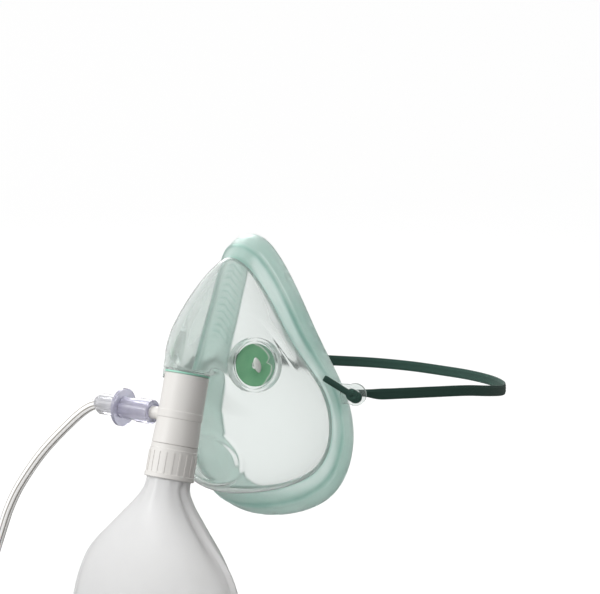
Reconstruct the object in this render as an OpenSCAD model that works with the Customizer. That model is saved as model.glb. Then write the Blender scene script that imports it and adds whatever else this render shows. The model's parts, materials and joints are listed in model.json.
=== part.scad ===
// High-concentration oxygen mask with a reservoir bag.
// Origin: centre of the face opening. +Z up, -Y is the way the wearer looks, +X is the wearer's left.

/* [Mask] */
// Wall of the clear mask shell
shell_wall = 1.2; // [0.9:0.1:1.6]
// Wall of the soft face seal
seal_wall = 1.6; // [1.2:0.1:2]
// How far the seal's inner lip turns in over the face
lip_reach = 10; // [7:0.5:12]
// Rings of facets from the port to the rim of the shell
shell_rings = 18; // [12:1:22]
// Facets round the mask
mask_sides = 72; // [54:6:84]

/* [Port and valve housing] */
// Lean of the valve housing, forward from the vertical
port_tilt = 18; // [15:1:21]
// Outer radius of the spigot that the housing turns on
spigot_r = 9.2; // [8.8:0.05:9.4]
// Radial clearance between spigot and housing
turn_clearance = 0.05; // [0.02:0.01:0.09]
// Outer radius of the valve housing
housing_r = 10.8; // [10.6:0.1:11]
// Length of the valve housing above its collar
housing_len = 34.5; // [33:0.5:36]
// Outer radius of the bag collar
collar_r = 11.8; // [11.6:0.1:12.2]
// Length of the bag collar
collar_len = 16.5; // [15:0.5:18]
// Grip ribs round the bag collar
collar_ribs = 20; // [12:1:24]

/* [Valves] */
// Radius of an exhalation flap
flap_r = 10.4; // [10:0.1:10.6]
// Thickness of every valve flap
flap_t = 0.5; // [0.4:0.1:0.7]
// Radius of the pin that holds an exhalation flap
flap_pin_r = 1.95; // [1.7:0.05:2.2]
// Outer radius of the raised ring round an exhalation valve
seat_r = 13.2; // [13:0.1:13.8]

/* [Tubing] */
// Outer radius of the oxygen tube
tube_r = 2.55; // [2.4:0.05:2.7]
// Outer radius of the inlet nipple
nipple_r = 3.15; // [3:0.05:3.3]
// Distance from the housing axis to the end of the nipple
nipple_reach = 27; // [25:0.5:28]
// Outer radius of the tube cuff
cuff_r = 5.4; // [5:0.1:5.6]
// Outer radius of the finger flange on the tube cuff
flange_r = 9.3; // [8.5:0.1:9.5]
// Mean radius of the stored coil of tube
coil_r = 29.7; // [29:0.1:30]
// Radius of the socket in the supply connector
socket_r = 3.2; // [3:0.05:3.4]
// Depth of the socket in the supply connector
socket_depth = 20; // [16:1:22]

/* [Bag] */
// Length of the reservoir bag below the collar
bag_len = 226; // [210:2:230]
// Half the width of the inflated bag
bag_half_w = 56; // [52:1:58]
// Half the thickness of the inflated bag
bag_half_t = 21; // [18:1:22]
// Thickness of the bag's film
bag_film = 0.5; // [0.4:0.1:0.8]

/* [Head strap] */
// Width of the elastic
strap_w = 5.6; // [5:0.2:6.4]
// Thickness of the elastic
strap_t = 1.5; // [1.2:0.1:1.8]
// Radius of the elastic where it is bunched in the lug
bunch_r = 1.6; // [1.4:0.1:1.8]
// Radius of the hole in a strap lug
lug_hole_r = 2.4; // [2.2:0.1:2.6]

/* [Hidden] */
$fn = 64;

// Where the housing meets the mask, and the directions of that axis
port = [0, -63, 15.5];
up = [0, sin(port_tilt), cos(port_tilt)];
ahead = [0, -cos(port_tilt), sin(port_tilt)];
neck_r = 11;          // radius of the shell where it ends on the port
neck_z = 2;           // height of that end above the housing
valve_at = [26.6, -42.1, 19.8];
valve_turn = [0, 79, -30];
seat_low = -3.4;      // underside and face of the ledge that an exhalation flap lies on
seat_high = -2.4;
collar_bore = 9.75;   // inner radius of the collar's top and of the film clamped in it
inlet_z = -20.5;      // height of the nipple, measured from the housing's top
nipple_x = -nipple_reach;

// Half outlines from the nose bridge to the chin, smoothed into closed loops
rim_back_half = [[0, -7, 77], [10, -5, 73], [20.5, 1, 51], [29, 6, 27], [38, 12, 6], [45, 16, -14],
    [45, 16, -37], [36, 14, -58], [19, 8, -67], [0, 3, -69]];
rim_front_half = [[0, -27, 68], [9, -24, 63], [17.5, -17, 45], [27, -14, 23], [39.5, -4, 4],
    [44, -2, -15], [42, -4, -33], [34, -11, -44], [18, -24, -48], [0, -31, -49]];
shoulder_half = [[0, -43, 61], [14, -41, 58], [27, -38, 46], [35, -38, 27], [39, -36, 8], [43, -36, -12],
    [43, -38, -32], [35, -46, -46], [19, -57, -53], [0, -61, -54]];
lift_half = [[7], [8], [11], [14], [17], [17], [15], [13], [11], [10]];

function negate_x(p) = len(p) == 3 ? [-p.x, p.y, p.z] : p;
function both_sides(h) = concat(h, [for (i = [len(h) - 2 : -1 : 1]) negate_x(h[i])]);
function spline(p, t) = let (n = len(p), i = floor(t), f = t - i)
    ((1 - f) ^ 3 * p[(i - 1 + n) % n] + (3 * f ^ 3 - 6 * f ^ 2 + 4) * p[i % n]
    + (-3 * f ^ 3 + 3 * f ^ 2 + 3 * f + 1) * p[(i + 1) % n] + f ^ 3 * p[(i + 2) % n]) / 6;

rim_back = both_sides(rim_back_half);
rim_front = both_sides(rim_front_half);
shoulder = both_sides(shoulder_half);
lift = both_sides(lift_half);
spans = len(rim_back);

function unit(v) = v / norm(v);
function bezier(a, b, c, d, v) =
    (1 - v) ^ 3 * a + 3 * (1 - v) ^ 2 * v * b + 3 * (1 - v) * v ^ 2 * c + v ^ 3 * d;
function port_point(angle, r, z) = port + r * (cos(angle) * ahead + sin(angle) * [1, 0, 0]) + z * up;

// The shell is a fan of curves that leave the port upward and arrive on the rim
function shell_point(i, j) = let (t = i * spans / mask_sides,
    start = port_point(t * 360 / spans, neck_r, neck_z))
    bezier(start, start + spline(lift, t)[0] * up, spline(shoulder, t), spline(rim_front, t), j / shell_rings);

// Unit normal of a grid of points that closes on itself in i
function grid_normal(g, i, j) = let (n = len(g[0]), m = len(g) - 1,
    along = g[j][(i + 1) % n] - g[j][(i - 1 + n) % n],
    down = g[min(j + 1, m)][i] - g[max(j - 1, 0)][i]) unit(cross(along, down));
function offset_grid(g, d) = [for (j = [0 : len(g) - 1])
    [for (i = [0 : len(g[0]) - 1]) g[j][i] + d * grid_normal(g, i, j)]];

// A closed skin from rings of points: rings follow each other and close on themselves
module ring_skin(rings, closed = true) {
    n = len(rings[0]);
    m = len(rings);
    last = closed ? m - 1 : m - 2;
    sides = [for (j = [0 : last], i = [0 : n - 1], half = [0, 1])
        let (a = j * n + i, b = j * n + (i + 1) % n, c = (j + 1) % m * n + i, d = (j + 1) % m * n + (i + 1) % n)
        half == 0 ? [a, b, d] : [a, d, c]];
    caps = closed ? [] : [[for (i = [n - 1 : -1 : 0]) i], [for (i = [0 : n - 1]) (m - 1) * n + i]];
    polyhedron([for (r = rings, p = r) p], concat(sides, caps));
}

shell_grid = [for (j = [0 : shell_rings]) [for (i = [0 : mask_sides - 1]) shell_point(i, j)]];

module mask_shell() {
    inner = offset_grid(shell_grid, shell_wall);
    color([0.86, 0.9, 0.88, 0.4])
        difference() {
            ring_skin(concat(shell_grid, [for (j = [shell_rings : -1 : 0]) inner[j]]));
            for (side = [0, 1]) mirror([side, 0, 0]) valve_frame()
                translate([0, 0, -12]) cylinder(r = seat_r - 0.1, h = 24);
        }
}

// The seal leaves the shell's rim, bulges out to the back rim and turns in as a lip on the face
function seal_ring(i) = let (t = i * spans / mask_sides, a = spline(rim_front, t), b = spline(rim_back, t),
    around = unit(spline(rim_front, t + 0.2) - spline(rim_front, t + spans - 0.2)), run = b - a,
    out = unit(cross(around, run)), back = unit(cross(out, around)),
    depth = norm(run), bulge = 0.1 * depth,
    outer = [for (v = [0 : 0.125 : 1])
        bezier(a, a + 0.35 * run + bulge * out, b - 0.25 * run + 2.2 * bulge * out, b, v)],
    lip = [for (v = [0.25 : 0.25 : 1])
        bezier(b, b + 2 * back - 1.5 * out, b - 0.6 * lip_reach * out + 1.5 * back,
            b - lip_reach * out - 2 * back, v)],
    path = concat(outer, lip), n = len(path) - 1,
    side = [for (k = [0 : n]) unit(cross(path[min(k + 1, n)] - path[max(k - 1, 0)], around))])
    concat(path, [for (k = [n : -1 : 0]) path[k] + seal_wall * side[k]]);

module face_seal()
    color([0.66, 0.8, 0.75]) ring_skin([for (i = [mask_sides - 1 : -1 : 0]) seal_ring(i)]);

module port_frame() translate(port) rotate([-port_tilt, 0, 0]) children();

module valve_frame() translate(valve_at) rotate(valve_turn) children();

module washer(r_out, r_in, low, high)
    translate([0, 0, low]) rotate_extrude() translate([r_in, 0]) square([r_out - r_in, high - low]);

// Spigot that the valve housing turns on, moulded in one with the shell
module port_spigot()
    color([0.86, 0.9, 0.88, 0.4]) port_frame() {
        washer(spigot_r, spigot_r - 1.2, -9, 1);
        washer(neck_r, spigot_r - 1.2, 1, neck_z);
    }

module port_ring()
    color([0.45, 0.72, 0.58]) port_frame() washer(neck_r - 0.1, spigot_r + 0.05, 0.15, 0.95);

// Raised ring, ledge, hub and spokes of an exhalation valve
module exhalation_seat() {
    foot = -6.2;
    ledge_r = 9.4;
    rim = 1.4;
    spoke_w = 1.4;
    sink = 0.15;
    rotate_extrude() polygon([[seat_r, foot], [seat_r, 0], [seat_r - rim, 0], [seat_r - rim, seat_high],
        [ledge_r, seat_high], [ledge_r, seat_low], [seat_r - rim, seat_low], [seat_r - rim, foot]]);
    washer(3, flap_pin_r - 0.6, seat_low, seat_high);
    for (turn = [0 : 60 : 300]) rotate([0, 0, turn])
        translate([2.6, -spoke_w / 2, seat_low + sink])
            cube([ledge_r - 1.9, spoke_w, seat_high - seat_low - 2 * sink]);
}
module exhalation_seat_left() color([0.86, 0.9, 0.88, 0.5]) valve_frame() exhalation_seat();
module exhalation_seat_right() color([0.86, 0.9, 0.88, 0.5]) mirror([1, 0, 0]) valve_frame() exhalation_seat();

// Pin with a long head that keeps the flap on its seat
module flap_pin() {
    head_half = 2.6;
    translate([0, 0, seat_low]) cylinder(r = flap_pin_r - 0.6, h = seat_high - seat_low);
    translate([0, 0, seat_high]) cylinder(r = flap_pin_r, h = 2);
    hull() for (s = [-1, 1]) translate([s * head_half, 0, -0.6]) cylinder(r = 1.5, h = 0.7, $fn = 24);
}
module flap_pin_left() color([0.9, 0.93, 0.9]) valve_frame() flap_pin();
module flap_pin_right() color([0.9, 0.93, 0.9]) mirror([1, 0, 0]) valve_frame() flap_pin();

module exhalation_flap() washer(flap_r, flap_pin_r + 0.05, seat_high + 0.05,
    seat_high + 0.05 + flap_t);
module exhalation_flap_left() color([0.46, 0.7, 0.53]) valve_frame() exhalation_flap();
module exhalation_flap_right() color([0.46, 0.7, 0.53]) mirror([1, 0, 0]) valve_frame() exhalation_flap();

// Strap lug on the edge of the cheek, with its hole pointing forward and out
lug_at = [50, 9, -2];
lug_yaw = 20;
lug_t = 1.8;
module lug_frame() translate(lug_at) rotate([90, 0, lug_yaw]) children();
module strap_lug()
    lug_frame() difference() {
        union() {
            translate([0, 0, -lug_t / 2]) cylinder(r = 5.6, h = lug_t);
            translate([-7.5, -5, -lug_t / 2]) cube([7.5, 10, lug_t]);
        }
        translate([0, 0, -lug_t]) cylinder(r = lug_hole_r, h = 2 * lug_t);
    }
module strap_lug_left() color([0.75, 0.86, 0.8, 0.7]) strap_lug();
module strap_lug_right() color([0.75, 0.86, 0.8, 0.7]) mirror([1, 0, 0]) strap_lug();

// Bunched elastic through the lug, its knot in front and the stiff free tail
tail_from = [0, -3.6, 0];
tail_run = [-11.5, -9, 9.5];
module strap_end() {
    lug_frame() translate([0, 0, -2.2]) cylinder(r = bunch_r, h = 5);
    translate(lug_at) rotate([0, 0, lug_yaw]) translate(tail_from) sphere(r = 3.2);
    translate(lug_at) rotate([0, 0, lug_yaw]) translate(tail_from) rotate([0, 0, -lug_yaw])
        rotate([0, acos(tail_run.z / norm(tail_run)), atan2(tail_run.y, tail_run.x)])
            cylinder(r = bunch_r, h = norm(tail_run));
}
module strap_end_left() color([0.14, 0.36, 0.29]) strap_end();
module strap_end_right() color([0.14, 0.36, 0.29]) mirror([1, 0, 0]) strap_end();

// Head strap: half its route from the left lug to the back of the head
strap_half = [[49.2, 12.9, -2], [50, 17, -2.8], [53, 27, -5], [57.5, 42, -7], [63.5, 62, -9.5], [69, 84, -12.5],
    [70, 106, -17], [65, 127, -21.5], [54, 147, -25], [38, 162, -27], [19, 170, -28], [0, 172.5, -28.5]];
strap_route = concat(strap_half, [for (i = [len(strap_half) - 2 : -1 : 0]) negate_x(strap_half[i])]);
strap_steps = 4;
strap_slack = 0.95;   // the elastic stretched on its route is this much slimmer

// Smooth curve through every point of an open route
function through(p, i, f) = let (n = len(p) - 1, a = p[max(i - 1, 0)], b = p[i], c = p[min(i + 1, n)],
    d = p[min(i + 2, n)])
    0.5 * (2 * b + (c - a) * f + (2 * a - 5 * b + 4 * c - d) * f ^ 2 + (3 * b - 3 * c + d - a) * f ^ 3);
function smooth_route(p, steps) =
    concat([for (i = [0 : len(p) - 2], k = [0 : steps - 1]) through(p, i, k / steps)], [p[len(p) - 1]]);
function heading(p, i) = unit(p[min(i + 1, len(p) - 1)] - p[max(i - 1, 0)]);

module head_strap() {
    line = smooth_route(strap_route, strap_steps);
    n = len(line) - 1;
    // the elastic opens from its bunched end to its full width
    function opened(i) = min(1, min(i, n - i) / 6);
    rings = [for (i = [0 : n])
        let (d = heading(line, i), side = unit(cross(d, [0, 0, 1])), high = cross(side, d),
            w = bunch_r + opened(i) * (strap_w / 2 - bunch_r),
            t = bunch_r + opened(i) * (strap_t / 2 - bunch_r))
        [for (c = [[1, 0.6], [0.7, 1], [-0.7, 1], [-1, 0.6], [-1, -0.6], [-0.7, -1], [0.7, -1], [1, -0.6]])
            line[i] + strap_slack * (c[1] * t * side + c[0] * w * high)]];
    color([0.14, 0.29, 0.24]) ring_skin(rings, closed = false);
}

// Valve housing with its socket, ring band and side nipple
module valve_housing() {
    bore = spigot_r + turn_clearance;
    wall_r = 9.4;
    band = 0.25;
    lower_r = 9.7;
    outline = [[bore, 0], [housing_r - 0.4, 0], [housing_r, -0.4], [housing_r, inlet_z + 2.6],
        [housing_r + band, inlet_z + 2.2], [housing_r + band, inlet_z - 1], [housing_r, inlet_z - 1.4],
        [housing_r + 0.55, -housing_len + 0.4], [housing_r + 0.2, -housing_len], [lower_r, -housing_len],
        [lower_r, -housing_len - collar_len + 1.5], [wall_r - 1.1, -housing_len - collar_len + 1.5],
        [wall_r - 1.1, inlet_z - 6], [wall_r, inlet_z - 6], [wall_r, -10], [bore, -10]];
    color([0.9, 0.89, 0.87]) port_frame() difference() {
        union() {
            rotate_extrude() polygon(outline);
            translate([0, 0, inlet_z]) rotate([0, -90, 0]) translate([0, 0, wall_r + 0.3])
                cylinder(r = nipple_r, h = nipple_reach - wall_r - 0.3);
            translate([0, 0, inlet_z]) rotate([0, -90, 0]) translate([0, 0, wall_r + 0.3])
                cylinder(r = nipple_r + 1, h = housing_r - wall_r + 0.5);
        }
        translate([0, 0, inlet_z]) rotate([0, -90, 0]) cylinder(r = 1.7, h = nipple_reach + 1);
    }
}

// Inhalation valve between the bag and the mask
inlet_seat_z = inlet_z + 5;
module inlet_seat()
    color([0.9, 0.89, 0.87]) port_frame() {
        seat_t = 1.2;
        translate([0, 0, inlet_seat_z]) {
            washer(9.3, 7.4, 0, seat_t);
            washer(2.4, 1, 0, seat_t);
            for (turn = [0 : 72 : 288]) rotate([0, 0, turn])
                translate([2.2, -0.6, 0]) cube([5.4, 1.2, seat_t]);
        }
    }
module inlet_flap_pin()
    color([0.95, 0.95, 0.93]) port_frame() translate([0, 0, inlet_seat_z]) {
        translate([0, 0, -0.4]) cylinder(r = 0.95, h = 3.4);
        translate([0, 0, 3]) cylinder(r = 2, h = 0.7);
        translate([0, 0, -1.1]) cylinder(r = 2, h = 0.7);
    }
module inlet_flap()
    color([0.88, 0.9, 0.88]) port_frame() translate([0, 0, inlet_seat_z]) washer(8.4, 1, 1.25, 1.25 + flap_t);

// Collar that holds the bag's neck on the housing
module bag_collar() {
    top = -housing_len - 0.05;
    bottom = -housing_len - collar_len;
    bore = housing_r + 0.1;
    lip = 0.35;
    rib = 0.9;
    color([0.88, 0.87, 0.85]) port_frame() {
        rotate_extrude() polygon([[collar_bore, top], [collar_r - 0.5, top], [collar_r - 0.5, top - 2],
            [collar_r - 0.2, top - 2.4], [collar_r - 0.2, bottom + 2.4], [collar_r + lip, bottom + 2],
            [collar_r + lip, bottom + 0.3], [collar_r, bottom], [bore, bottom], [bore, top - 2],
            [collar_bore, top - 2]]);
        for (turn = [0 : 360 / collar_ribs : 359]) rotate([0, 0, turn])
            translate([collar_r - 0.4, -rib / 2, bottom + 2.2]) cube([0.45, rib, collar_len - 6]);
    }
}

// The part of the bag's film that is clamped between housing and collar
module bag_neck()
    color([0.9, 0.9, 0.89]) port_frame()
        washer(housing_r + 0.05, collar_bore, -housing_len - collar_len - 0.5, -housing_len - 2.5);

// Bag: its axis leaves the collar along the housing and comes to hang straight below it
bag_top = port + (-housing_len - collar_len) * up;
bag_rings = 30;
bag_sides = 32;
// Each entry is the fraction of the length, then the fractions of half width and half thickness
bag_shape = [[0.006, 0.05, 0.13], [0.034, 0.2, 0.5], [0.05, 0.27, 0.6], [0.08, 0.38, 0.68], [0.15, 0.64, 0.82],
    [0.24, 0.84, 0.95], [0.34, 0.97, 1], [0.5, 1, 1], [0.68, 1, 1], [0.82, 0.97, 0.86], [0.92, 0.93, 0.55],
    [0.975, 0.9, 0.2], [1, 0.88, 0.05]];
function bag_axis(f) = let (lean = port_tilt * (1 - f) ^ 2) bag_top + f * bag_len * [0, -sin(lean), -cos(lean)];
function bag_size(f) = let (k = max([for (i = [0 : len(bag_shape) - 2]) if (bag_shape[i][0] <= f) i]),
    a = bag_shape[k], b = bag_shape[k + 1], g = (f - a[0]) / (b[0] - a[0])) a + g * (b - a);
function bag_ring(f, inset) = let (s = bag_size(f), c = bag_axis(f),
    d = unit(bag_axis(f + 0.01) - bag_axis(f - 0.01)), thick = unit(cross(d, [1, 0, 0])),
    w = max(0.6, s[1] * bag_half_w - inset), t = max(0.3, s[2] * bag_half_t - inset))
    [for (i = [0 : bag_sides - 1]) let (q = i * 360 / bag_sides, x = cos(q), y = sin(q),
        // an ellipse near the neck that becomes a lens with thin edges
        lens = min(1, f * 5)) c + x * w * [1, 0, 0] + y * (1 - 0.25 * lens * (1 - abs(y))) * t * thick];

module reservoir_bag() {
    steps = [for (k = [0 : bag_rings]) bag_shape[0][0] + (1 - bag_shape[0][0]) * (k / bag_rings) ^ 1.35];
    outer = [for (k = [bag_rings : -1 : 0]) bag_ring(steps[k], 0)];
    inner = [for (k = [0 : bag_rings - 1]) bag_ring(steps[k], bag_film)];
    color([0.9, 0.9, 0.89, 0.8]) ring_skin(concat(outer, inner), closed = false);
}

// Soft cuff with a finger flange, pushed on the nipple
cuff_from = nipple_x + 10.5;
cuff_to = nipple_x - 9;
collar_grip = 7.8;
flange_t = 1.6;
module line_frame() port_frame() translate([0, 0, inlet_z]) rotate([0, 90, 0]) children();
module tube_cuff()
    color([0.75, 0.74, 0.81, 0.85]) line_frame() difference() {
        union() {
            translate([0, 0, cuff_to]) cylinder(r = cuff_r, h = cuff_from - cuff_to);
            translate([0, 0, cuff_from - collar_grip]) cylinder(r = cuff_r + 0.5, h = collar_grip);
            translate([0, 0, nipple_x - 8]) cylinder(r = flange_r, h = flange_t);
        }
        translate([0, 0, nipple_x - 1]) cylinder(r = nipple_r + 0.03, h = 12);
        translate([0, 0, cuff_to - 1]) cylinder(r = 3.6, h = 9.4);
    }

// Clear sleeve that joins the tube to the cuff and can turn in it
sleeve_end = nipple_x - 23;
sleeve_r = 5.1;
taper_len = 2.8;
module tube_sleeve()
    color([0.86, 0.86, 0.88, 0.7]) line_frame() difference() {
        union() {
            translate([0, 0, nipple_x - 12]) cylinder(r = 3.54, h = 10.5);
            translate([0, 0, sleeve_end + taper_len]) cylinder(r = sleeve_r, h = 10.9);
            translate([0, 0, sleeve_end]) cylinder(r1 = tube_r + 0.75, r2 = sleeve_r, h = taper_len);
        }
        translate([0, 0, sleeve_end - 1]) cylinder(r = tube_r, h = 24);
    }

// Route of the oxygen tube from the sleeve to the coil
line_y = port.y + inlet_z * sin(port_tilt);
tube_route = [[-46, 0, -4], [-51, 0, -4.6], [-56.5, 0, -7.4], [-62.5, 0, -12], [-70, 0, -18.8], [-78, 0, -26.5],
    [-86, 0, -35], [-94, 0, -45], [-101.7, 0, -56], [-107.8, 0, -67.5], [-112.6, 0, -79.5],
    [-116.6, -1, -91.5], [-120.4, -3, -104], [-124.7, -6, -117.5], [-130, -8.6, -131], [-135.3, -10.2, -146]];
coil_at = [-104, line_y, -160];
coil_half_t = 13;
coil_half_w = 5.3;
tail_at = [coil_at.x - coil_r + tube_r, line_y - coil_half_t - tube_r - 0.1];
tail_top = coil_at.z + 3;
connector_top = -200;
connector_len = 36;

module sweep(line, r, sides) {
    rings = [for (i = [0 : len(line) - 1])
        let (d = heading(line, i), a = unit(cross(d, [0, 1, 0])), b = cross(a, d))
        [for (k = [0 : sides - 1]) line[i] + r * (cos(k * 360 / sides) * a + sin(k * 360 / sides) * b)]];
    ring_skin(rings, closed = false);
}

module oxygen_tube()
    color([0.9, 0.89, 0.87, 0.8]) {
        sweep([for (p = tube_route) p + [0, line_y, 0]], tube_r, 10);
        translate([tail_at.x, tail_at.y, connector_top]) cylinder(r = tube_r, h = tail_top - connector_top);
    }

module tube_coil()
    color([0.9, 0.89, 0.87, 0.9]) translate(coil_at) rotate([90, 0, 0]) rotate_extrude()
        translate([coil_r, 0]) difference() {
            square([2 * coil_half_w, 2 * coil_half_t], center = true);
            for (sx = [-1, 1], sy = [-1, 1]) translate([sx * coil_half_w, sy * coil_half_t])
                rotate([0, 0, 45]) square(2.4, center = true);
        }

module coil_tie() {
    gap = 0.3;
    wall = 0.8;
    width = 7;
    color([0.93, 0.93, 0.91]) translate(coil_at + [0, 0, coil_r]) difference() {
        cube([width, 2 * (coil_half_t + gap + wall), 2 * (coil_half_w + gap + wall)], center = true);
        cube([width + 1, 2 * (coil_half_t + gap), 2 * (coil_half_w + gap)], center = true);
    }
}

// Funnel connector on the far end, open downward, for the oxygen supply's barbed nipple
module supply_connector() {
    mouth_r = 5.9;
    grip_r = 4.2;
    mouth_len = 14;
    cone_len = 10;
    grip_len = connector_len - mouth_len - cone_len;
    foot = [tail_at.x, tail_at.y, connector_top - connector_len];
    color([0.75, 0.74, 0.81, 0.85]) translate(foot) difference() {
        union() {
            cylinder(r = mouth_r, h = mouth_len);
            translate([0, 0, mouth_len]) cylinder(r1 = mouth_r, r2 = grip_r, h = cone_len);
            translate([0, 0, mouth_len + cone_len]) cylinder(r = grip_r, h = grip_len);
        }
        translate([0, 0, -1]) cylinder(r = socket_r, h = socket_depth + 1);
        translate([0, 0, 1]) cylinder(r = 1.8, h = 30);
        translate([0, 0, connector_len - 8]) cylinder(r = tube_r, h = 20);
    }
}

mask_shell();
face_seal();
strap_lug_left();
strap_lug_right();
port_spigot();
port_ring();
exhalation_seat_left();
exhalation_seat_right();
flap_pin_left();
flap_pin_right();
exhalation_flap_left();
exhalation_flap_right();
strap_end_left();
strap_end_right();
head_strap();
valve_housing();
inlet_seat();
inlet_flap_pin();
inlet_flap();
bag_collar();
bag_neck();
reservoir_bag();
tube_cuff();
tube_sleeve();
oxygen_tube();
tube_coil();
coil_tie();
supply_connector();
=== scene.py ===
import json
import math
import bmesh
import bpy
import numpy as np
from mathutils import Matrix, Vector


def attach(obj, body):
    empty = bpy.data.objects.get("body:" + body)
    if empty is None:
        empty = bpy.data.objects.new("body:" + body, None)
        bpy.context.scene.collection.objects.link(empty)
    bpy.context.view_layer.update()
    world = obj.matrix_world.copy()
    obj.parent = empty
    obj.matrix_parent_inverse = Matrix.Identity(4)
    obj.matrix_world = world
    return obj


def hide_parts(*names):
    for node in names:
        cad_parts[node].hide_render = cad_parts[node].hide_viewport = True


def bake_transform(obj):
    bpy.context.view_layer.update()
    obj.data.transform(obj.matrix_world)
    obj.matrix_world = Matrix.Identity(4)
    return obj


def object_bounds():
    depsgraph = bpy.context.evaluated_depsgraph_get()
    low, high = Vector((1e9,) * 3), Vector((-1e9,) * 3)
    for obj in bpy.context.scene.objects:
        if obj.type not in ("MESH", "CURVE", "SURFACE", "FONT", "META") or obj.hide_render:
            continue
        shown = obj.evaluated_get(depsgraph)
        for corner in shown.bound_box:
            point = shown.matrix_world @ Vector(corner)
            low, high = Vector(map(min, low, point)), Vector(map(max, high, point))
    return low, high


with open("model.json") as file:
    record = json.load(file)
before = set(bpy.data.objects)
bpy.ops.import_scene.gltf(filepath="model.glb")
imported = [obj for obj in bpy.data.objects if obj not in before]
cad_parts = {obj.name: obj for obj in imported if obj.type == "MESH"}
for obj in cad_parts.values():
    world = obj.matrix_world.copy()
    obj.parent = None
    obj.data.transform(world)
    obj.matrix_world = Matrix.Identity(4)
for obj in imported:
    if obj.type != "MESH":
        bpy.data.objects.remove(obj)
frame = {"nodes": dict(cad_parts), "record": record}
cad_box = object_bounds()

# ---------------------------------------------------------------- the port's frame, in metres
PORT = np.array([0, -0.063, 0.0155])
PORT_TILT = math.radians(18)
UP = np.array([0, math.sin(PORT_TILT), math.cos(PORT_TILT)])
AHEAD = np.array([0, -math.cos(PORT_TILT), math.sin(PORT_TILT)])
SIDE = np.array([1.0, 0, 0])
WORLD_UP = np.array([0, 0, 1.0])
BAG_TOP = PORT - 0.051 * UP


# ---------------------------------------------------------------- camera, at the photograph's angle
AZIMUTH, ELEVATION, DISTANCE = math.radians(34), math.radians(12), 1.6
LENS, SENSOR = 192, 36
AIM = Vector((0.011, 0.018, 0.041))


def make_camera():
    back = Vector((math.sin(AZIMUTH) * math.cos(ELEVATION), -math.cos(AZIMUTH) * math.cos(ELEVATION),
                   math.sin(ELEVATION)))
    camera = bpy.data.objects.new("camera", bpy.data.cameras.new("camera"))
    bpy.context.scene.collection.objects.link(camera)
    camera.data.lens = LENS
    camera.data.sensor_width = SENSOR
    camera.data.clip_end = 20
    camera.location = AIM + back * DISTANCE
    camera.rotation_mode = "QUATERNION"
    camera.rotation_quaternion = (-back).to_track_quat("-Z", "Y")
    bpy.context.scene.camera = camera


make_camera()


# ---------------------------------------------------------------- vectors, curves and meshes
def unit(v):
    v = np.asarray(v, float)
    return v / np.linalg.norm(v, axis=-1, keepdims=True)


def smooth_step(x, low, high):
    """0 below low, 1 above high, and a smooth ramp between them."""
    x = np.clip((x - low) / (high - low), 0, 1)
    return x * x * (3 - 2 * x)


def hump(x, middle, width):
    """A bell curve of height 1."""
    return np.exp(-((x - middle) / width) ** 2)


def mirror(side):
    """Factors that take a point on the wearer's left (side 1) to either side."""
    return np.array([side, 1, 1])


def angles_round(sides):
    return np.arange(sides) * 2 * np.pi / sides


def new_mesh(name, verts, faces):
    """A smooth shaded mesh object from vertices and faces."""
    mesh = bpy.data.meshes.new(name)
    mesh.from_pydata([tuple(map(float, v)) for v in verts], [], [tuple(map(int, f)) for f in faces])
    mesh.update()
    mesh.polygons.foreach_set("use_smooth", [True] * len(mesh.polygons))
    piece = bpy.data.objects.new(name, mesh)
    bpy.context.scene.collection.objects.link(piece)
    return piece


def grid_faces(rows, columns, wrap_rows=False, flip=False):
    """Quads of a grid that closes on itself along the columns, and along the rows if wrap_rows."""
    faces = []
    for j in range(rows if wrap_rows else rows - 1):
        for i in range(columns):
            a, b = j * columns + i, j * columns + (i + 1) % columns
            k = (j + 1) % rows
            c, d = k * columns + (i + 1) % columns, k * columns + i
            faces.append((a, d, c, b) if flip else (a, b, c, d))
    return faces


def end_caps(rows, sides, flip=False):
    """The two faces that close a row of rings at its first and its last ring."""
    caps = [list(range(sides)), [(rows - 1) * sides + i for i in reversed(range(sides))]]
    return [cap[::-1] for cap in caps] if flip else caps


def point_attribute(piece, name, values):
    """Stores one number per vertex, for a material to read."""
    field = piece.data.attributes.new(name, "FLOAT", "POINT")
    field.data.foreach_set("value", np.asarray(values, np.float32).ravel())


def through(points, steps):
    """A smooth curve through every point of an open route."""
    p = np.asarray(points, float)
    n = len(p) - 1
    out = []
    for i in range(n):
        a, b, c, d = p[max(i - 1, 0)], p[i], p[min(i + 1, n)], p[min(i + 2, n)]
        for f in np.arange(steps) / steps:
            out.append(0.5 * (2 * b + (c - a) * f + (2 * a - 5 * b + 4 * c - d) * f ** 2
                              + (3 * b - 3 * c + d - a) * f ** 3))
    out.append(p[n])
    return np.array(out)


def arc_length(line):
    return np.concatenate([[0], np.cumsum(np.linalg.norm(np.diff(line, axis=0), axis=1))])


def resample(line, spacing):
    """The same line with evenly spaced points."""
    s = arc_length(line)
    t = np.linspace(0, s[-1], max(3, int(round(s[-1] / spacing)) + 1))
    return np.stack([np.interp(t, s, line[:, k]) for k in range(3)], -1)


def sides_along(line, first_side):
    """Two side directions at each point, carried along the line without twisting."""
    heading = unit(np.gradient(line, axis=0))
    a = np.zeros_like(line)
    a[0] = unit(first_side - heading[0] * (heading[0] @ first_side))
    for i in range(1, len(line)):
        a[i] = unit(a[i - 1] - heading[i] * (heading[i] @ a[i - 1]))
    return a, np.cross(heading, a)


def sweep(line, radius, sides, first_side, flatten=1.0):
    """Vertices and faces of a round cord along a line, with its ends closed."""
    a, b = sides_along(line, np.array(first_side))
    q = angles_round(sides)
    radius = np.broadcast_to(np.asarray(radius, float), (len(line),))[:, None, None]
    ring = np.cos(q)[None, :, None] * a[:, None] + flatten * np.sin(q)[None, :, None] * b[:, None]
    verts = (line[:, None] + radius * ring).reshape(-1, 3)
    return verts, grid_faces(len(line), sides, flip=True) + end_caps(len(line), sides)


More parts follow.
